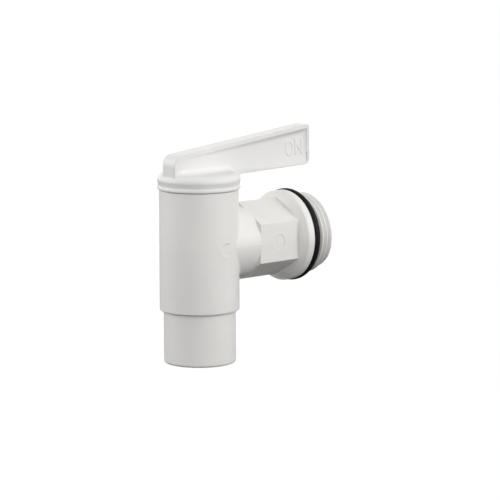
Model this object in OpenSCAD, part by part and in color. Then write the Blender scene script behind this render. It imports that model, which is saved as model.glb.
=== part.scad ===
// Quarter-turn tap for a jerrycan: a moulded body with a threaded inlet and a spout, a tapered
// plug moulded in one piece with its cap and lever, and a rubber ring on the inlet.
// The origin is on the inlet's axis where its thread starts.
// +Y points into the container and +Z points up.

/* [Inlet] */
// Outside diameter of the inlet's thread
thread_outer_d = 26.44; // [25.6:0.02:28]
// Depth of the thread from crest to root
thread_depth = 1.16; // [0.8:0.02:1.6]
// Length of the threaded spigot
thread_len = 7.2; // [5:0.1:16]
// Chamfer at the spigot's end
thread_lead = 0.7; // [0.3:0.1:1.2]
// Radius of the bore through the inlet
inlet_bore_r = 9; // [8:0.1:10]
// Thickness of the rubber ring's cord
ring_cord_d = 2.8; // [2:0.1:3.4]
// Distance that the rubber ring stands out past the flange's rim
ring_proud = 0.35; // [0:0.05:0.8]
// Space between the rubber ring and what is round it
ring_gap = 0.05; // [0.02:0.01:0.1]
// Radius of the flange
flange_r = 14.8; // [14.4:0.1:18]
// Thickness of the flange at its rim
flange_rim_t = 2.7; // [2:0.1:5]
// Height of the slope on the flange's front
flange_cone_h = 1.3; // [0.5:0.1:2.5]
// Swelling of the slope past a straight line
flange_swell = 0.3; // [0:0.05:0.5]
// Rounding of the flange's front edge
flange_round = 0.6; // [0.3:0.1:1.2]
// Width of the hexagon across its flats
hex_flats = 22; // [21:0.2:24]
// Length of the hexagon
hex_len = 16.1; // [8:0.2:24]
// Radius of the round neck
neck_r = 11.4; // [11.2:0.1:12.3]
// Distance from the barrel's axis to the hexagon
neck_reach = 16.6; // [16:0.2:30]

/* [Barrel and spout] */
// Radius of the barrel at its top rim
barrel_top_r = 12.75; // [12.5:0.05:14]
// Radius of the barrel at its lower lip
barrel_base_r = 12.85; // [12.5:0.05:14]
// Length of the barrel
barrel_len = 39.1; // [34:0.1:50]
// Height of the barrel's top rim above the inlet's axis
barrel_top_z = 18.4; // [16:0.2:22]
// Rounding of the barrel's lower lip
lip_round = 0.6; // [0.4:0.1:1.6]
// Radius of the spout
spout_r = 11.6; // [10.8:0.1:12]
// Length of the spout below the barrel
spout_len = 17; // [8:0.5:40]
// Rounding of the spout's lower edge
spout_round = 0.8; // [0.4:0.1:1.3]
// Radius of the spout's bore
spout_bore_r = 9.45; // [8:0.05:9.9]
// Height of the inner ledge above the barrel's base
ledge_h = 2.8; // [2:0.1:4]
// Radius of the tapered bore at the barrel's top rim
bore_top_r = 11; // [10.8:0.05:11.3]
// Radius of the tapered bore at the inner ledge
bore_base_r = 10.4; // [10.1:0.05:10.7]
// Radius of the water port in the barrel and in the plug
port_r = 7; // [5:0.1:7.6]

/* [Plug and cap] */
// Running clearance all round the plug
plug_clearance = 0.05; // [0.02:0.01:0.09]
// Space between the plug's lower end and the ledge
plug_end_gap = 0.15; // [0.05:0.05:0.5]
// Thickness of the plug's wall
plug_wall = 1.65; // [1.2:0.05:2.2]
// Space between the barrel's rim and the cap
cap_gap = 0.15; // [0.1:0.05:0.6]
// Height of the cap
cap_h = 5.15; // [4.5:0.05:8]
// Radius of the cap at its shoulder
cap_r = 13.35; // [13:0.05:14.5]
// Radius of the rounded shoulder
cap_round = 2.15; // [1:0.05:2.4]
// Radius of the cap's waist above the bead
cap_waist_r = 13.08; // [12.8:0.02:13.3]
// Radius of the bead round the cap's lower edge
cap_bead_r = 13.3; // [13:0.05:14]
// Height of the bead
cap_bead_h = 1.4; // [1:0.1:1.5]
// Rounding of the bead's lower edge
cap_foot_round = 0.35; // [0.2:0.05:0.45]
// Thickness of the cap's top
cap_wall = 2.2; // [1.6:0.1:2.8]
// Height that the snap bead stands out of the plug
snap_h = 0.3; // [0.15:0.05:0.5]
// Distance of the snap bead below the barrel's rim
snap_drop = 4; // [3:0.1:6]
// Length of the stop lug below the barrel's rim
stop_lug_h = 1.3; // [0.8:0.1:1.8]
// Distance that the stop lug stands out of the bore's edge
stop_lug_out = 0.75; // [0.4:0.05:0.9]
// Width of the stop lug in degrees
stop_lug_angle = 20; // [10:1:40]
// Turn of the lever to each side in degrees
lever_swing = 90; // [60:5:90]

/* [Lever] */
// Distance from the barrel's axis to the lever's tip
lever_reach = 45.8; // [35:0.2:60]
// Distance from the barrel's axis to the lever's back end
lever_back = 12.5; // [10:0.1:13]
// Width of the lever at its back end
lever_back_w = 6.1; // [5:0.1:8]
// Width of the lever at its tip
lever_tip_w = 4.6; // [4.2:0.1:7]
// Height of the lever's top above the cap at its back end
lever_back_h = 6.2; // [4:0.1:8]
// Height of the lever's top above the cap at its tip
lever_tip_h = 12.5; // [9:0.1:16]
// Height of the lever's underside above the cap at its root, negative when it is below
lever_root_under = -1.5; // [-3:0.05:0]
// Height of the lever's underside above the cap at its tip, negative when it is below
lever_tip_under = -0.85; // [-2:0.05:2]
// Distance that the lever's root stands out of the cap's side
lever_root_out = 1.9; // [1:0.1:3]
// Rounding of the lever's upper back corner
lever_back_round = 3.6; // [1:0.1:4]
// Rounding of the lever's upright edges
lever_edge_round = 0.4; // [0.3:0.1:1.4]
// Rounding of the lever's lower corner at the tip
lever_tip_round = 2.5; // [1:0.1:4]
// Rounding of the lever's upper corner at the tip
lever_nose_round = 1.6; // [0.4:0.1:2.5]
// Thickness of the rim along the lever's top
lever_rim_t = 1.5; // [0.6:0.1:2]
// Thickness of the rim at the lever's tip
lever_end_rim_t = 1.2; // [0.6:0.1:2]
// Depth of the scoop in each side of the lever at its tip
scoop_depth = 0.9; // [0.5:0.05:1.8]
// Distance from the barrel's axis back to where the scoops start
scoop_start = 6; // [2:0.5:9]

/* [Mould marks] */
// Radius of the round mark on the barrel
barrel_mark_r = 2; // [1:0.1:3]
// Distance from the barrel's axis to its round mark, towards the inlet
barrel_mark_reach = 0.8; // [0:0.1:3]
// Depth of the round mark on the barrel
barrel_mark_depth = 0.26; // [0.2:0.02:0.5]
// Radius of the round mark on the hexagon
hex_mark_r = 2.3; // [1:0.1:4]
// Depth of the round mark on the hexagon
hex_mark_depth = 0.1; // [0.05:0.01:0.4]

/* [Hidden] */
$fn = 96;
// Overlap that joins the forms of one moulding
weld = 1;
// Overshoot of a cut past the face that it opens
past = 1;

// Wall left round the port between the barrel's outside and the inlet bore's floor
port_wall = 0.6;

// Places along the inlet's axis
flange_back_y = -(ring_cord_d + 2 * ring_gap);
ring_seat_r = flange_r + ring_proud - ring_cord_d - ring_gap;
rim_front_y = flange_back_y - flange_rim_t;
hex_end_y = rim_front_y - flange_cone_h;
hex_start_y = hex_end_y - hex_len;
barrel_y = hex_start_y - neck_reach;
thread_root_r = thread_outer_d / 2 - thread_depth;
bore_floor_y = barrel_y + barrel_base_r + port_wall;

// Heights along the barrel's axis
base_z = barrel_top_z - barrel_len;
ledge_z = base_z + ledge_h;
spout_z = base_z - spout_len;
cap_z = barrel_top_z + cap_gap;
cap_top_z = cap_z + cap_h;
plug_z = ledge_z + plug_end_gap;
snap_z = barrel_top_z - snap_drop;

// Radius of the tapered bore at the height z, and of the plug that runs in it
bore_slope = (bore_top_r - bore_base_r) / (barrel_top_z - ledge_z);
function bore_r(z) = bore_base_r + bore_slope * (z - ledge_z);
function plug_r(z) = bore_r(z) - plug_clearance;

// Height of the cap's waist above the bead
waist_rise = 0.4;
// Setback of the lever's root at its foot, which leaves a small draft there
root_draft = 0.4;

// The snap bead is round in section, and its groove leaves snap_gap round it
snap_r = 0.5;
snap_gap = 0.1;
stop_gap = 0.15;

// The lever's top line, its half width, and the web left between the scoops, at the distance s
lever_run = lever_reach + lever_back;
lever_slope = (lever_tip_h - lever_back_h) / lever_run;
lever_angle = atan(lever_slope);
function lever_top(s) = lever_back_h + lever_slope * (s + lever_back);
function lever_half_w(s) = (lever_back_w + (lever_tip_w - lever_back_w) * (s + lever_back) / lever_run) / 2;
web_tip = lever_half_w(lever_reach) - scoop_depth;
web_slope = (lever_half_w(-scoop_start) - web_tip) / (lever_reach + scoop_start);
web_h = lever_top(lever_reach) - lever_rim_t - lever_tip_under;
scoop_r = (pow(web_h, 2) + pow(scoop_depth, 2)) / (2 * scoop_depth);
root_s = cap_r + lever_root_out;
root_under_z = cap_bead_h - cap_h;

// Points on an arc round [x, y] from the angle a to the angle b
function arc(x, y, r, a, b, n = 8) =
    [for (i = [0:n]) [x + r * cos(a + (b - a) * i / n), y + r * sin(a + (b - a) * i / n)]];

// Points between [x1, y1] and [x2, y2] that swell to the lower side of the line between them
function swollen(x1, y1, x2, y2, swell, n = 6) =
    [for (i = [1:n - 1]) let (t = i / n)
        [x1 + (x2 - x1) * t, y1 + (y2 - y1) * t - 4 * swell * t * (1 - t)]];

// Turns +Z of its children to +Y
module along_inlet() {
    rotate([-90, 0, 0]) children();
}

module at_barrel() {
    translate([0, barrel_y, 0]) children();
}

// Outline of the barrel and spout, to be revolved
module barrel_outline() {
    polygon(concat(
        [[0, spout_z]],
        arc(spout_r - spout_round, spout_z + spout_round, spout_round, -90, 0),
        [[spout_r, base_z]],
        arc(barrel_base_r - lip_round, base_z + lip_round, lip_round, -90, 0),
        [[barrel_top_r, barrel_top_z], [0, barrel_top_z]]
    ));
}

// The tapered bore, its ledge and the spout's bore, to be revolved
module bore_outline() {
    above = barrel_top_z + past;
    polygon([
        [0, spout_z - past],
        [spout_bore_r, spout_z - past],
        [spout_bore_r, ledge_z],
        [bore_base_r, ledge_z],
        [bore_r(above), above],
        [0, above]
    ]);
}

// Flange, ring seat and threaded spigot along the inlet's axis, to be revolved
module flange_outline() {
    edge_r = flange_r - flange_round;
    polygon(concat(
        [[0, hex_end_y], [neck_r, hex_end_y]],
        swollen(neck_r, hex_end_y, edge_r, rim_front_y, flange_swell),
        arc(edge_r, rim_front_y + flange_round, flange_round, -60, 0, 4),
        [
            [flange_r, flange_back_y],
            [ring_seat_r, flange_back_y],
            [ring_seat_r, 0],
            [thread_root_r, 0],
            [thread_root_r, thread_len - thread_lead],
            [thread_root_r - thread_lead, thread_len],
            [0, thread_len]
        ]
    ));
}

module neck() {
    along_inlet() translate([0, 0, barrel_y]) cylinder(r = neck_r, h = neck_reach);
}

module hexagon() {
    along_inlet()
        translate([0, 0, hex_start_y])
        rotate([0, 0, 30])
        cylinder(r = hex_flats / 2 / cos(30), h = hex_len + flange_cone_h, $fn = 6);
}

// Inlet bore with a flat floor, and the smaller port through the barrel's wall
module inlet_cut() {
    along_inlet()
        translate([0, 0, bore_floor_y])
        cylinder(r = inlet_bore_r, h = thread_len - bore_floor_y + past);
    along_inlet()
        translate([0, 0, barrel_y])
        cylinder(r = port_r, h = bore_floor_y - barrel_y + past);
}

// Round section of the snap bead, swollen by the given amount
module snap_section(swell) {
    translate([plug_r(snap_z) + snap_h - snap_r, snap_z]) circle(r = snap_r + swell);
}

// A piece of ring that sweeps to each side of the -Y direction
module stop_sweep(half_angle, inner_r, outer_r, low_z, high_z) {
    rotate([0, 0, 270 - half_angle])
        rotate_extrude(angle = 2 * half_angle)
        translate([inner_r, low_z])
        square([outer_r - inner_r, high_z - low_z]);
}

// Recess inside the barrel's rim in which the stop lug turns
module stop_recess() {
    stop_sweep(
        lever_swing + stop_lug_angle / 2 + 1,
        bore_base_r - weld,
        bore_top_r + stop_lug_out + stop_gap,
        barrel_top_z - stop_lug_h - stop_gap,
        barrel_top_z + past
    );
}

module stop_lug() {
    stop_sweep(
        stop_lug_angle / 2,
        plug_r(barrel_top_z) - plug_wall / 2,
        bore_top_r + stop_lug_out,
        barrel_top_z - stop_lug_h,
        cap_z + cap_bead_h / 2
    );
}

module mould_marks() {
    translate([barrel_base_r - barrel_mark_depth, barrel_y + barrel_mark_reach, 0])
        rotate([0, 90, 0])
        cylinder(r = barrel_mark_r, h = barrel_mark_depth + past);
    translate([hex_flats / 2 - hex_mark_depth, hex_start_y + hex_len / 2, 0])
        rotate([0, 90, 0])
        cylinder(r = hex_mark_r, h = hex_mark_depth + past);
}

// Barrel, spout, neck, hexagon, flange and spigot are one moulding
module body() {
    color([0.92, 0.92, 0.91])
        difference() {
            union() {
                at_barrel() rotate_extrude() barrel_outline();
                neck();
                hexagon();
                along_inlet() rotate_extrude() flange_outline();
            }
            at_barrel() rotate_extrude() bore_outline();
            at_barrel() rotate_extrude() snap_section(snap_gap);
            at_barrel() stop_recess();
            inlet_cut();
            mould_marks();
        }
}

// Plug and cap as one solid outline, to be revolved
module plug_outline() {
    bead_round = cap_bead_h / 2;
    shoulder_z = cap_top_z - cap_round;
    waist_z = cap_z + cap_bead_h + waist_rise;
    polygon(concat(
        [[0, plug_z], [plug_r(plug_z), plug_z], [plug_r(cap_z), cap_z]],
        arc(cap_bead_r - cap_foot_round, cap_z + cap_foot_round, cap_foot_round, -90, 0, 4),
        arc(cap_bead_r - bead_round, cap_z + cap_bead_h - bead_round, bead_round, 0, 50),
        [[cap_waist_r, waist_z]],
        arc(cap_r - cap_round, shoulder_z, cap_round, 0, 90),
        [[0, cap_top_z]]
    ));
}

// The hollow inside the plug, open at its lower end, to be revolved
module hollow_outline() {
    ceiling_z = cap_top_z - cap_wall;
    below = plug_z - past;
    polygon([
        [0, below],
        [plug_r(below) - plug_wall, below],
        [plug_r(ceiling_z) - plug_wall, ceiling_z],
        [0, ceiling_z]
    ]);
}

// Side view of the lever, with the distance from the barrel's axis across and the height above
// the cap upwards
module lever_side() {
    back_s = lever_back_round - lever_back;
    back_z = lever_top(back_s) - lever_back_round / cos(lever_angle);
    nose_s = lever_reach - lever_nose_round;
    nose_z = lever_top(nose_s) - lever_nose_round / cos(lever_angle);
    tip_z = lever_tip_under + lever_tip_round;
    polygon(concat(
        [
            [-lever_back, -cap_round],
            [cap_waist_r - weld, -cap_round],
            [cap_waist_r - weld, root_under_z],
            [root_s - root_draft, root_under_z],
            [root_s, lever_root_under]
        ],
        arc(lever_reach - lever_tip_round, tip_z, lever_tip_round, -90, 0),
        arc(nose_s, nose_z, lever_nose_round, 0, 90 + lever_angle, 4),
        arc(back_s, back_z, lever_back_round, 90 + lever_angle, 180)
    ));
}

// Plan of the lever, which narrows towards the tip
module lever_plan() {
    back_x = lever_back_w / 2 - lever_edge_round;
    back_s = lever_edge_round - lever_back;
    tip_x = lever_tip_w / 2 - lever_edge_round;
    tip_s = lever_reach - lever_edge_round;
    polygon(concat(
        arc(-back_x, back_s, lever_edge_round, 180, 270, 4),
        arc(back_x, back_s, lever_edge_round, 270, 360, 4),
        arc(tip_x, tip_s, lever_edge_round, 0, 90, 4),
        arc(-tip_x, tip_s, lever_edge_round, 90, 180, 4)
    ));
}

// Stands a side view up along +Y and gives it a width across X
module across(width) {
    rotate([90, 0, 90]) translate([0, 0, -width / 2]) linear_extrude(width) children();
}

// The side of the lever that the scoop may reach: under the top rim and short of the end rim
module scoop_bounds() {
    end_s = lever_reach - lever_end_rim_t;
    start_s = -lever_back;
    low = root_under_z - past;
    across(4 * lever_back_w) polygon([
        [start_s, low],
        [end_s, low],
        [end_s, lever_top(end_s) - lever_rim_t],
        [start_s, lever_top(start_s) - lever_rim_t]
    ]);
}

// Round hollow that starts at nothing near the cap and bites deeper towards the tip
module scoop() {
    start_x = lever_half_w(-scoop_start) + scoop_r;
    start_z = lever_top(-scoop_start) - lever_rim_t;
    intersection() {
        translate([start_x, -scoop_start, start_z])
            rotate([lever_angle, 0, atan(web_slope)])
            rotate([-90, 0, 0])
            translate([0, 0, -lever_run])
            cylinder(r = scoop_r, h = 3 * lever_run);
        scoop_bounds();
    }
}

module lever() {
    plan_h = lever_tip_h - root_under_z;
    difference() {
        intersection() {
            across(2 * lever_back_w + 2 * lever_tip_w) lever_side();
            translate([0, 0, root_under_z - past]) linear_extrude(plan_h + 2 * past) lever_plan();
        }
        scoop();
        mirror([1, 0, 0]) scoop();
    }
}

// Lever, cap and hollow tapered plug are one moulding, shown shut with its port towards -X
module lever_plug() {
    color([0.95, 0.95, 0.94])
        at_barrel()
        difference() {
            union() {
                rotate_extrude() plug_outline();
                rotate_extrude() snap_section(0);
                stop_lug();
                translate([0, 0, cap_top_z]) lever();
            }
            rotate_extrude() hollow_outline();
            rotate([0, -90, 0]) cylinder(r = port_r, h = bore_top_r + past);
        }
}

// Rubber ring between the flange and the container's face
module inlet_o_ring() {
    color([0.08, 0.08, 0.08])
        along_inlet()
        rotate_extrude()
        translate([ring_seat_r + ring_gap + ring_cord_d / 2, flange_back_y / 2])
        circle(r = ring_cord_d / 2, $fn = 32);
}

body();
lever_plug();
inlet_o_ring();
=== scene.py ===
"""The looks of a jerrycan tap: plastic and rubber finishes, the inlet's thread, the hollow blends
at neck, cap and scoops, the raised words on the lever, the mould's seam, a white stage, lights
and a camera."""
import math

import bmesh
import bpy
from mathutils import Matrix, Vector


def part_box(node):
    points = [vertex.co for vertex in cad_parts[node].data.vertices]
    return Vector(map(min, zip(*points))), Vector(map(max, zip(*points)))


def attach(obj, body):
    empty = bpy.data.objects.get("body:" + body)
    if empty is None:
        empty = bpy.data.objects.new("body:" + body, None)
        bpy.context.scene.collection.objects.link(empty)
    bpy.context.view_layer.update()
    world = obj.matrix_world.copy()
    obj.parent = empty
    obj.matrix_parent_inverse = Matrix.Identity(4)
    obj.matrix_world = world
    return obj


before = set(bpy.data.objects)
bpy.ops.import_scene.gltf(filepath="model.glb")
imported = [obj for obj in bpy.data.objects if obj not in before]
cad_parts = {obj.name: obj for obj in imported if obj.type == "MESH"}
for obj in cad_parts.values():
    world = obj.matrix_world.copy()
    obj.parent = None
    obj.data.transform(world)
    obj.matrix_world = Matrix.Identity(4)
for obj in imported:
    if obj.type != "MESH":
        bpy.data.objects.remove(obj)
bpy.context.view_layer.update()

MM = 0.001

# Sizes that the solids are built to, in millimetres
BARREL_TOP_R, BARREL_BASE_R = 12.75, 12.85
BARREL_TOP_Z, BARREL_BASE_Z = 18.4, -20.7
NECK_R = 11.4
FLANGE_R = 14.8
HEX_HALF = 11.0
HEX_START_Y, HEX_END_Y = -23.0, -6.9
HEX_MARK_Y, HEX_MARK_R = -14.95, 2.3
CAP_R, CAP_ROUND, CAP_TOP_Z = 13.35, 2.15, 23.7
THREAD_ROOT_R, THREAD_CREST_R = 12.06, 13.22
THREAD_PITCH, THREAD_LEN = 1.814, 7.2
LEVER_BACK, LEVER_REACH = 12.5, 45.8
LEVER_BACK_W, LEVER_TIP_W = 6.1, 4.6
LEVER_BACK_H, LEVER_TIP_H, LEVER_TIP_UNDER = 6.2, 12.5, -0.85
LEVER_RIM_T, LEVER_END_RIM_T = 1.5, 1.2
SCOOP_DEPTH, SCOOP_START = 0.9, 6.0

# The barrel's axis, from the body's place in the frame
body_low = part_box("body")[0]
BARREL_Y = body_low.y / MM + BARREL_BASE_R
ON_CAP = Vector((0, BARREL_Y, CAP_TOP_Z))
SIDE_NAMES = {1: "right", -1: "left"}


# Small helpers

def mesh_object(name, points, faces):
    mesh = bpy.data.meshes.new(name)
    mesh.from_pydata(points, [], faces)
    mesh.validate()
    obj = bpy.data.objects.new(name, mesh)
    bpy.context.scene.collection.objects.link(obj)
    return obj


def fix_normals(obj):
    bm = bmesh.new()
    bm.from_mesh(obj.data)
    bmesh.ops.remove_doubles(bm, verts=bm.verts, dist=1e-7)
    bmesh.ops.recalc_face_normals(bm, faces=bm.faces)
    bm.to_mesh(obj.data)
    bm.free()


def shade_smooth(obj, angle):
    for polygon in obj.data.polygons:
        polygon.use_smooth = True
    obj.data.set_sharp_from_angle(angle=math.radians(angle))


def evenly(first, last, count):
    """count + 1 values from first to last."""
    return [first + (last - first) * i / count for i in range(count + 1)]


def barrel_r(z):
    share = (z - BARREL_BASE_Z) / (BARREL_TOP_Z - BARREL_BASE_Z)
    return BARREL_BASE_R + (BARREL_TOP_R - BARREL_BASE_R) * share


# The lever, by the distance s from the barrel's axis and the height h above the cap

LEVER_RUN = LEVER_REACH + LEVER_BACK
LEVER_SLOPE = (LEVER_TIP_H - LEVER_BACK_H) / LEVER_RUN


def lever_top(s):
    return LEVER_BACK_H + LEVER_SLOPE * (s + LEVER_BACK)


def lever_half_w(s):
    return (LEVER_BACK_W + (LEVER_TIP_W - LEVER_BACK_W) * (s + LEVER_BACK) / LEVER_RUN) / 2


WEB_TIP = lever_half_w(LEVER_REACH) - SCOOP_DEPTH
WEB_SLOPE = (lever_half_w(-SCOOP_START) - WEB_TIP) / (LEVER_REACH + SCOOP_START)
WEB_H = lever_top(LEVER_REACH) - LEVER_RIM_T - LEVER_TIP_UNDER
SCOOP_R = (WEB_H ** 2 + SCOOP_DEPTH ** 2) / (2 * SCOOP_DEPTH)


def scoop_x(s, h):
    """Distance of the scoop's surface from the lever's middle plane."""
    drop = lever_top(s) - LEVER_RIM_T - h
    web = lever_half_w(-SCOOP_START) - WEB_SLOPE * (s + SCOOP_START)
    return web + SCOOP_R - math.sqrt(SCOOP_R ** 2 - drop ** 2)


def lever_wall(s, h):
    """The lever's right side: its distance x, and the direction (x, s, h) in which it faces."""
    if scoop_x(s, h) >= lever_half_w(s):
        taper = (LEVER_BACK_W - LEVER_TIP_W) / 2 / LEVER_RUN
        return lever_half_w(s), Vector((1, taper, 0)).normalized()
    drop = lever_top(s) - LEVER_RIM_T - h
    lean = drop / math.sqrt(SCOOP_R ** 2 - drop ** 2)
    return scoop_x(s, h), Vector((1, WEB_SLOPE - LEVER_SLOPE * lean, lean)).normalized()


# Materials

def new_material(name):
    material = bpy.data.materials.new(name)
    material.use_nodes = True
    nodes = material.node_tree.nodes
    nodes.clear()
    out = nodes.new("ShaderNodeOutputMaterial")
    shader = nodes.new("ShaderNodeBsdfPrincipled")
    material.node_tree.links.new(shader.outputs["BSDF"], out.inputs["Surface"])
    return material, nodes, material.node_tree.links, shader


def noise(nodes, links, coords, scale, detail):
    node = nodes.new("ShaderNodeTexNoise")
    node.inputs["Scale"].default_value = scale
    node.inputs["Detail"].default_value = detail
    links.new(coords, node.inputs["Vector"])
    return node.outputs["Fac"]


def ramp(nodes, links, fac, stops):
    node = nodes.new("ShaderNodeValToRGB")
    for element, (place, colour) in zip(node.color_ramp.elements, stops):
        element.position = place
        element.color = (*colour, 1)
    links.new(fac, node.inputs["Fac"])
    return node.outputs["Color"]


def map_range(nodes, links, value, low, high):
    node = nodes.new("ShaderNodeMapRange")
    node.inputs["To Min"].default_value = low
    node.inputs["To Max"].default_value = high
    links.new(value, node.inputs["Value"])
    return node.outputs["Result"]


def relief(nodes, links, height, strength, distance, under=None, invert=False):
    """The normal of a surface that follows height. under: the normal that it adds to."""
    node = nodes.new("ShaderNodeBump")
    node.invert = invert
    node.inputs["Strength"].default_value = strength
    node.inputs["Distance"].default_value = distance
    links.new(height, node.inputs["Height"])
    if under is not None:
        links.new(under, node.inputs["Normal"])
    return node.outputs["Normal"]


def broken_edges(nodes, edge_mm):
    node = nodes.new("ShaderNodeBevel")
    node.samples = 8
    node.inputs["Radius"].default_value = edge_mm * MM
    return node.outputs["Normal"]


def height_from_seam(nodes, links, coords):
    """Distance above or below the mould's seam, which is at the height 0."""
    split = nodes.new("ShaderNodeSeparateXYZ")
    links.new(coords, split.inputs[0])
    node = nodes.new("ShaderNodeMath")
    node.operation = "ABSOLUTE"
    links.new(split.outputs["Z"], node.inputs[0])
    return node.outputs[0]


def plastic(name, pale, dark, roughness, edge_mm=0, draft=0):
    """White moulded plastic: a satin skin with faint flow marks, shallow sink marks and a fine
    grain. edge_mm softly breaks the solids' edges. The thin added pieces go without it, as their
    hidden sides would darken them. draft is the slope of walls that lean in from the mould's
    seam, upwards and downwards."""
    flow_scale, sink_scale, grain_scale = 90, 160, 2600
    material, nodes, links, shader = new_material(name)
    coords = nodes.new("ShaderNodeTexCoord").outputs["Object"]
    flow = noise(nodes, links, coords, flow_scale, 2.0)
    colour = ramp(nodes, links, flow, [(0.35, dark), (0.65, pale)])
    links.new(colour, shader.inputs["Base Color"])
    grain = noise(nodes, links, coords, grain_scale, 3.0)
    rough = map_range(nodes, links, grain, roughness - 0.05, roughness + 0.05)
    links.new(rough, shader.inputs["Roughness"])
    shader.inputs["IOR"].default_value = 1.49
    shader.inputs["Specular IOR Level"].default_value = 0.45
    sink = noise(nodes, links, coords, sink_scale, 1.0)
    normal = broken_edges(nodes, edge_mm) if edge_mm else None
    normal = relief(nodes, links, sink, 0.12, 0.25 * MM, normal)
    normal = relief(nodes, links, grain, 0.10, 0.03 * MM, normal)
    if draft:
        from_seam = height_from_seam(nodes, links, coords)
        normal = relief(nodes, links, from_seam, 1.0, draft, normal, invert=True)
    links.new(normal, shader.inputs["Normal"])
    return material


def rubber():
    """Matte black rubber with a little dust in its pores."""
    material, nodes, links, shader = new_material("black_rubber")
    coords = nodes.new("ShaderNodeTexCoord").outputs["Object"]
    dust = noise(nodes, links, coords, 700, 4.0)
    clean, dusty = (0.003, 0.003, 0.003), (0.008, 0.008, 0.007)
    colour = ramp(nodes, links, dust, [(0.3, clean), (0.8, dusty)])
    links.new(colour, shader.inputs["Base Color"])
    rough = map_range(nodes, links, dust, 0.5, 0.7)
    links.new(rough, shader.inputs["Roughness"])
    shader.inputs["Specular IOR Level"].default_value = 0.22
    normal = relief(nodes, links, dust, 0.15, 0.04 * MM)
    links.new(normal, shader.inputs["Normal"])
    return material


def dress(obj, material):
    obj.data.materials.clear()
    obj.data.materials.append(material)


# Thread of the inlet

THREAD_FOOT_HALF, THREAD_SHOULDER_HALF, THREAD_CREST_HALF = 0.78, 0.34, 0.20
THREAD_SUNK = 0.12


def thread_section(height):
    """Section of the ridge, as (distance along the axis, height over the root). height is 1 for
    the full ridge."""
    full = (THREAD_CREST_R - THREAD_ROOT_R) * height
    rising = [
        (-THREAD_FOOT_HALF - 0.1, -THREAD_SUNK),
        (-THREAD_FOOT_HALF, 0.02 * height),
        (-THREAD_SHOULDER_HALF, 0.80 * full),
        (-THREAD_CREST_HALF, 0.96 * full),
    ]
    falling = [(-along, up) for along, up in reversed(rising)]
    return rising + [(0.0, full)] + falling


def make_thread():
    """A right-handed ridge that grows out of the root cylinder and runs back into it."""
    steps_per_turn = 96
    start_y, end_y = 1.0, THREAD_LEN - 0.95
    start_angle = math.radians(200)
    fade_turns = 0.12
    least_height = 0.02
    turns = (end_y - start_y) / THREAD_PITCH
    count = int(turns * steps_per_turn)
    width = len(thread_section(1))
    points, faces = [], []
    for i in range(count + 1):
        turn = turns * i / count
        height = min(1.0, turn / fade_turns, (turns - turn) / fade_turns)
        angle = 2 * math.pi * turn + start_angle
        y = start_y + THREAD_PITCH * turn
        for along, up in thread_section(max(height, least_height)):
            r = THREAD_ROOT_R + up
            points.append((r * math.sin(angle) * MM, (y + along) * MM, r * math.cos(angle) * MM))
    for i in range(count):
        for j in range(width):
            a = i * width + j
            b = i * width + (j + 1) % width
            faces.append((a, b, b + width, a + width))
    faces.append(tuple(range(width)))
    faces.append(tuple(count * width + j for j in reversed(range(width))))
    obj = mesh_object("inlet_thread_ridge", points, faces)
    fix_normals(obj)
    shade_smooth(obj, 40)
    return obj


# Rounded blends, as a ball leaves that rolls along an inner corner

NECK_BLEND_R = 1.4
CAP_BLEND_R = 2.0
SCOOP_BLEND_R = 2.0
# How far a blend dips into the surfaces that it joins, so that its edges don't show
BLEND_DIP = 0.012
# Place of a blend's hidden back edge, as a share of the ball's radius
BLEND_BACK = 1.6


def rolled_blend(name, stations, closed=False, across=8):
    """stations: (ball's radius and centre, the ways to the two surfaces that it touches)."""
    points, faces = [], []
    for ball_r, centre, first, second in stations:
        sweep = first.angle(second)
        for f in evenly(0, 1, across):
            way = (first * math.sin((1 - f) * sweep) + second * math.sin(f * sweep)) / math.sin(sweep)
            points.append((centre + way * (ball_r + BLEND_DIP)) * MM)
        points.append((centre + (first + second).normalized() * ball_r * BLEND_BACK) * MM)
    width = across + 2
    count = len(stations)
    for i in range(count if closed else count - 1):
        k = (i + 1) % count
        for j in range(width):
            n = (j + 1) % width
            faces.append((i * width + j, i * width + n, k * width + n, k * width + j))
    if not closed:
        faces.append(tuple(range(width)))
        faces.append(tuple((count - 1) * width + j for j in range(width)))
    obj = mesh_object(name, points, faces)
    fix_normals(obj)
    shade_smooth(obj, 60)
    return obj


def make_neck_blend(around=180):
    """The neck runs into the barrel in a hollow curve."""
    stations = []
    for i in range(around):
        t = 2 * math.pi * i / around
        outward = Vector((math.cos(t), 0, math.sin(t)))
        centre = outward * (NECK_R + NECK_BLEND_R)
        reach = barrel_r(centre.z) + NECK_BLEND_R
        centre.y = math.sqrt(reach ** 2 - centre.x ** 2)
        to_barrel = Vector((-centre.x, -centre.y, 0)).normalized()
        stations.append((NECK_BLEND_R, centre + Vector((0, BARREL_Y, 0)), -outward, to_barrel))
    return rolled_blend("neck_blend", stations, closed=True)


def cap_top_under(x, s, ball_r):
    """A ball that rests on the cap over (x, s): its centre's height and the way to the cap."""
    rho = math.hypot(x, s)
    over = rho - (CAP_R - CAP_ROUND)
    if over <= 0:
        return ball_r, Vector((0, 0, -1))
    rise = math.sqrt((CAP_ROUND + ball_r) ** 2 - over ** 2)
    return rise - CAP_ROUND, Vector((-x / rho * over, -s / rho * over, -rise)).normalized()


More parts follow.
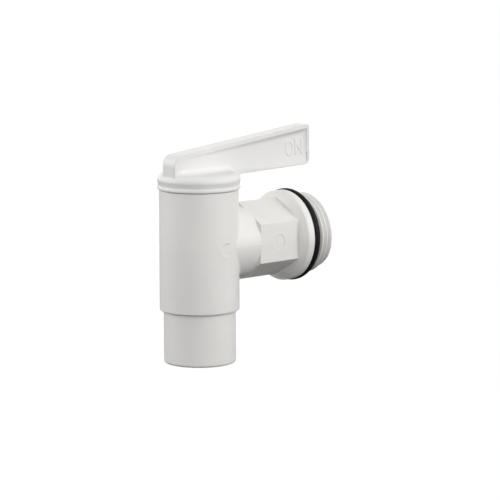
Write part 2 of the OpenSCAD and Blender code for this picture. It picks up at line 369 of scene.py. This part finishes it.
def make_cap_blend(side):
    """The lever's foot spreads over the cap, and fades out towards the cap's edge."""
    front_s, back_s, count = 12.4, -12.1, 90
    least_r, growth = 0.25, 0.05
    rounds_to_settle = 4
    flip = Vector((side, 1, 1))
    stations = []
    for s in evenly(front_s, back_s, count):
        room = math.sqrt(CAP_R ** 2 - s ** 2) - lever_half_w(s)
        ball_r = min(CAP_BLEND_R, least_r + growth * room ** 2)
        h = ball_r
        for _ in range(rounds_to_settle):
            wall, facing = lever_wall(s, h)
            x, t = wall + facing.x * ball_r, s + facing.y * ball_r
            z, to_cap = cap_top_under(x, t, ball_r)
            h = z - facing.z * ball_r
        centre = Vector((x, t, z)) * flip + ON_CAP
        stations.append((ball_r, centre, -facing * flip, to_cap * flip))
    return rolled_blend("cap_blend_" + SIDE_NAMES[side], stations, across=12)


def edge_blend(name, side, places, onward):
    """A hollow slope from the scoop's floor out to the rim's edge. places: (s, h) of the edge;
    onward: the way, as (s, h), from the scoop's floor to the rim."""
    stations = []
    way = Vector((0, onward[0], onward[1])).normalized()
    for s, h in places:
        depth = lever_half_w(s) - scoop_x(s, h)
        along = math.sqrt(SCOOP_BLEND_R ** 2 - (SCOOP_BLEND_R - depth) ** 2)
        centre = Vector((side * (scoop_x(s, h) + SCOOP_BLEND_R), s, h)) - way * along
        to_edge = (Vector((side * (depth - SCOOP_BLEND_R), 0, 0)) + way * along).normalized()
        stations.append((SCOOP_BLEND_R, centre + ON_CAP, Vector((-side, 0, 0)), to_edge))
    return rolled_blend(name, stations)


# Space that keeps the two blends of a scoop just short of its corner
CORNER_GAP = 0.05


def make_rim_blend(side):
    """The soft slope under the rim along the lever's top."""
    start_s, end_s = 1.0, LEVER_REACH - LEVER_END_RIM_T - CORNER_GAP
    places = [(s, lever_top(s) - LEVER_RIM_T) for s in evenly(start_s, end_s, 80)]
    return edge_blend("rim_blend_" + SIDE_NAMES[side], side, places, (-LEVER_SLOPE, 1))


def make_end_blend(side):
    """The soft slope in front of the rim at the lever's tip."""
    s = LEVER_REACH - LEVER_END_RIM_T
    high, low = lever_top(s) - LEVER_RIM_T - CORNER_GAP, LEVER_TIP_UNDER + 4
    places = [(s, h) for h in evenly(high, low, 40)]
    return edge_blend("end_blend_" + SIDE_NAMES[side], side, places, (1, 0))


# Raised words in the lever's scoops, each letter as (letter, its middle s, width, height)

ON_LETTERS = (("O", 37.2, 3.9, 5.6), ("N", 41.4, 3.5, 5.2))
OFF_LETTERS = (("O", 40.7, 3.7, 5.6), ("F", 36.8, 2.8, 5.2), ("F", 33.3, 2.8, 5.2))
WORD_MIDDLE_H = 5.08
LETTER_RAISED, LETTER_SUNK = 0.12, 0.3


def letter_mesh(letter):
    """A bold letter with rounded shoulders."""
    curve = bpy.data.curves.new("letter", "FONT")
    curve.body = letter
    curve.extrude = 0.02
    curve.offset = 0.012
    curve.bevel_depth = 0.022
    curve.bevel_resolution = 2
    curve.resolution_u = 6
    source = bpy.data.objects.new("letter_source", curve)
    bpy.context.scene.collection.objects.link(source)
    bpy.context.view_layer.update()
    depsgraph = bpy.context.evaluated_depsgraph_get()
    mesh = bpy.data.meshes.new_from_object(source.evaluated_get(depsgraph))
    bpy.data.objects.remove(source)
    return mesh


def lay_letter(side, letter, centre_s, width, height):
    """The letter as triangles, lying on the scoop of that side."""
    bm = bmesh.new()
    bm.from_mesh(letter_mesh(letter))
    low_x, high_x = min(v.co.x for v in bm.verts), max(v.co.x for v in bm.verts)
    low_y, high_y = min(v.co.y for v in bm.verts), max(v.co.y for v in bm.verts)
    top = max(v.co.z for v in bm.verts)
    bmesh.ops.triangulate(bm, faces=bm.faces)
    for v in bm.verts:
        s = centre_s + side * ((v.co.x - low_x) / (high_x - low_x) - 0.5) * width
        h = WORD_MIDDLE_H + ((v.co.y - low_y) / (high_y - low_y) - 0.5) * height
        lift = v.co.z / top * (LETTER_RAISED if v.co.z > 0 else LETTER_SUNK)
        x = side * (scoop_x(s, h) + lift)
        v.co = Vector((x * MM, (BARREL_Y + s) * MM, (CAP_TOP_Z + h) * MM))
    piece = bpy.data.meshes.new("letter_piece")
    bm.to_mesh(piece)
    bm.free()
    return piece


def make_word(name, side, letters):
    whole = bmesh.new()
    for letter, centre_s, width, height in letters:
        piece = lay_letter(side, letter, centre_s, width, height)
        whole.from_mesh(piece)
        bpy.data.meshes.remove(piece)
    mesh = bpy.data.meshes.new(name)
    whole.to_mesh(mesh)
    whole.free()
    obj = bpy.data.objects.new(name, mesh)
    bpy.context.scene.collection.objects.link(obj)
    fix_normals(obj)
    shade_smooth(obj, 50)
    return obj


# Fine seam that the mould's halves leave at the height of the inlet's axis

SEAM_HALF_W, SEAM_H, SEAM_SUNK = 0.1, 0.015, 0.06
# Runs round the barrel, in degrees from the inlet towards +X, with a gap for the round mark
SEAM_BARREL_RUNS = ((66, 76), (97, 294))
# Where the neck comes out of the barrel's blend, from the barrel's axis
SEAM_NECK_START = 6.3
SEAM_FLANGE_START_Y, SEAM_FLANGE_END_Y = -5.0, -3.0
SEAM_MARK_GAP = 0.1


def barrel_seam(first, last):
    path = []
    for angle in evenly(first, last, 60):
        a = math.radians(angle)
        outward = Vector((math.sin(a), math.cos(a), 0))
        path.append((outward * barrel_r(0) + Vector((0, BARREL_Y, 0)), outward))
    return path


def inlet_seams(side):
    """Straight runs along the neck, the hexagon and the flange. The right side of the hexagon
    has a round mark, which the seam passes by."""
    before_mark = HEX_MARK_Y - HEX_MARK_R - SEAM_MARK_GAP
    after_mark = HEX_MARK_Y + HEX_MARK_R + SEAM_MARK_GAP
    if side > 0:
        on_hexagon = [(HEX_HALF, HEX_START_Y, before_mark), (HEX_HALF, after_mark, HEX_END_Y)]
    else:
        on_hexagon = [(HEX_HALF, HEX_START_Y, HEX_END_Y)]
    on_neck = (NECK_R, BARREL_Y + SEAM_NECK_START, HEX_START_Y)
    on_flange = (FLANGE_R, SEAM_FLANGE_START_Y, SEAM_FLANGE_END_Y)
    outward = Vector((side, 0, 0))
    return [
        [(Vector((side * x, y, 0)), outward) for y in (start, end)]
        for x, start, end in [on_neck, *on_hexagon, on_flange]
    ]


def make_seam():
    """A low ridge along paths of (point, outward direction)."""
    section = (
        (-SEAM_HALF_W, -SEAM_SUNK),
        (-0.4 * SEAM_HALF_W, SEAM_H),
        (0.4 * SEAM_HALF_W, SEAM_H),
        (SEAM_HALF_W, -SEAM_SUNK),
    )
    width = len(section)
    paths = [barrel_seam(first, last) for first, last in SEAM_BARREL_RUNS]
    paths += inlet_seams(1) + inlet_seams(-1)
    points, faces = [], []
    for path in paths:
        first = len(points)
        for point, outward in path:
            for across, up in section:
                points.append((point + outward * up + Vector((0, 0, across))) * MM)
        for i in range(len(path) - 1):
            for j in range(width):
                a, b = first + i * width + j, first + i * width + (j + 1) % width
                faces.append((a, b, b + width, a + width))
        last = len(points) - width
        faces.append(tuple(first + j for j in range(width)))
        faces.append(tuple(last + j for j in reversed(range(width))))
    obj = mesh_object("mould_seam", points, faces)
    fix_normals(obj)
    shade_smooth(obj, 60)
    return obj


# Stage and lights

FLOOR_HALF = 3.0
FLOOR_GREY = 0.13
# Brightness of the floor to the camera alone, which makes it as white as the background
FLOOR_GLOW = 0.90


def make_floor():
    corners = ((-1, -1), (1, -1), (1, 1), (-1, 1))
    points = [(x * FLOOR_HALF, y * FLOOR_HALF, body_low.z) for x, y in corners]
    floor = mesh_object("floor", points, [(0, 1, 2, 3)])
    material = bpy.data.materials.new("floor_white")
    material.use_nodes = True
    nodes, links = material.node_tree.nodes, material.node_tree.links
    nodes.clear()
    out = nodes.new("ShaderNodeOutputMaterial")
    diffuse = nodes.new("ShaderNodeBsdfDiffuse")
    diffuse.inputs["Color"].default_value = (FLOOR_GREY, FLOOR_GREY, FLOOR_GREY, 1)
    glow = nodes.new("ShaderNodeEmission")
    glow.inputs["Color"].default_value = (1, 1, 1, 1)
    path = nodes.new("ShaderNodeLightPath")
    strength = nodes.new("ShaderNodeMath")
    strength.operation = "MULTIPLY"
    strength.inputs[1].default_value = FLOOR_GLOW
    links.new(path.outputs["Is Camera Ray"], strength.inputs[0])
    links.new(strength.outputs[0], glow.inputs["Strength"])
    both = nodes.new("ShaderNodeAddShader")
    links.new(diffuse.outputs[0], both.inputs[0])
    links.new(glow.outputs[0], both.inputs[1])
    links.new(both.outputs[0], out.inputs["Surface"])
    floor.data.materials.append(material)
    return floor


def make_world(horizon, zenith):
    """An even white room, dimmer overhead, that the camera sees as plain white."""
    world = bpy.data.worlds.new("studio")
    bpy.context.scene.world = world
    world.use_nodes = True
    nodes, links = world.node_tree.nodes, world.node_tree.links
    nodes.clear()
    out = nodes.new("ShaderNodeOutputWorld")
    room = nodes.new("ShaderNodeBackground")
    room.inputs["Color"].default_value = (1, 1, 1, 1)
    split = nodes.new("ShaderNodeSeparateXYZ")
    links.new(nodes.new("ShaderNodeTexCoord").outputs["Generated"], split.inputs[0])
    level = map_range(nodes, links, split.outputs["Z"], horizon, zenith)
    links.new(level, room.inputs["Strength"])
    white = nodes.new("ShaderNodeBackground")
    white.inputs["Color"].default_value = (1, 1, 1, 1)
    white.inputs["Strength"].default_value = 1.0
    path = nodes.new("ShaderNodeLightPath")
    mix = nodes.new("ShaderNodeMixShader")
    links.new(path.outputs["Is Camera Ray"], mix.inputs["Fac"])
    links.new(room.outputs[0], mix.inputs[1])
    links.new(white.outputs[0], mix.inputs[2])
    links.new(mix.outputs[0], out.inputs["Surface"])


def sight(azimuth, elevation):
    """The direction in which something stands, seen from the tap. Azimuth 0 is in front."""
    a, e = math.radians(azimuth), math.radians(elevation)
    return Vector((math.sin(a) * math.cos(e), -math.cos(a) * math.cos(e), math.sin(e)))


def area_light(name, azimuth, elevation, watts, distance=0.9, size=0.5):
    """A soft box that looks at the tap's middle."""
    light = bpy.data.lights.new(name, "AREA")
    light.shape = "SQUARE"
    light.size = size
    light.energy = watts
    obj = bpy.data.objects.new(name, light)
    bpy.context.scene.collection.objects.link(obj)
    middle = Vector((0, (BARREL_Y + 12) * MM, 0))
    obj.location = middle + sight(azimuth, elevation) * distance
    obj.rotation_mode = "QUATERNION"
    obj.rotation_quaternion = (middle - obj.location).to_track_quat("-Z", "Y")
    return obj


# Camera, as found from the photograph: its place round the barrel's axis and where it points

CAMERA_AZIMUTH = 49.98
CAMERA_ELEVATION = 8.80
CAMERA_DISTANCE = 0.927
CAMERA_TURN = -1.017
CAMERA_TILT = 0.088
CAMERA_ROLL = -0.25
CAMERA_LENS = 208.1


def make_camera():
    camera = bpy.data.cameras.new("camera")
    camera.lens = CAMERA_LENS
    camera.sensor_width = 36
    camera.clip_start = 0.05
    camera.clip_end = 20
    obj = bpy.data.objects.new("camera", camera)
    bpy.context.scene.collection.objects.link(obj)
    axis = Vector((0, BARREL_Y * MM, 0))
    place = axis + sight(CAMERA_AZIMUTH, CAMERA_ELEVATION) * CAMERA_DISTANCE
    back = sight(CAMERA_AZIMUTH + CAMERA_TURN, CAMERA_ELEVATION + CAMERA_TILT)
    flat = math.radians(CAMERA_AZIMUTH + CAMERA_TURN)
    level_right = Vector((math.cos(flat), math.sin(flat), 0))
    level_up = back.cross(level_right)
    roll = math.radians(CAMERA_ROLL)
    right = level_right * math.cos(roll) + level_up * math.sin(roll)
    up = level_up * math.cos(roll) - level_right * math.sin(roll)
    turn = Matrix((right, up, back)).transposed().to_4x4()
    obj.matrix_world = Matrix.Translation(place) @ turn
    bpy.context.scene.camera = obj


# The whole scene

BODY_PALE, BODY_DARK, BODY_ROUGHNESS = (0.815, 0.804, 0.782), (0.795, 0.784, 0.761), 0.42
LEVER_PALE, LEVER_DARK, LEVER_ROUGHNESS = (0.80, 0.794, 0.779), (0.78, 0.774, 0.758), 0.40
SOLID_EDGE = 0.35
DRAFT = 0.022

body_plastic = plastic("body_plastic", BODY_PALE, BODY_DARK, BODY_ROUGHNESS, SOLID_EDGE, DRAFT)
body_detail = plastic("body_detail", BODY_PALE, BODY_DARK, BODY_ROUGHNESS, draft=DRAFT)
lever_plastic = plastic("lever_plastic", LEVER_PALE, LEVER_DARK, LEVER_ROUGHNESS, SOLID_EDGE)
lever_detail = plastic("lever_detail", LEVER_PALE, LEVER_DARK, LEVER_ROUGHNESS)

dress(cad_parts["body"], body_plastic)
dress(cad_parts["lever_plug"], lever_plastic)
dress(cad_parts["inlet_o_ring"], rubber())

for piece in (make_thread(), make_neck_blend(), make_seam()):
    dress(piece, body_detail)
    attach(piece, "tap_body")

for piece in (
    make_cap_blend(1),
    make_cap_blend(-1),
    make_rim_blend(1),
    make_rim_blend(-1),
    make_end_blend(1),
    make_end_blend(-1),
    make_word("word_on", 1, ON_LETTERS),
    make_word("word_off", -1, OFF_LETTERS),
):
    dress(piece, lever_detail)
    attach(piece, "lever")

make_floor()
make_world(horizon=1.59, zenith=0.42)
area_light("key", azimuth=115, elevation=20, watts=2.75)
area_light("fill", azimuth=-47, elevation=20, watts=2.0)
make_camera()

bpy.context.scene.view_settings.view_transform = "Standard"
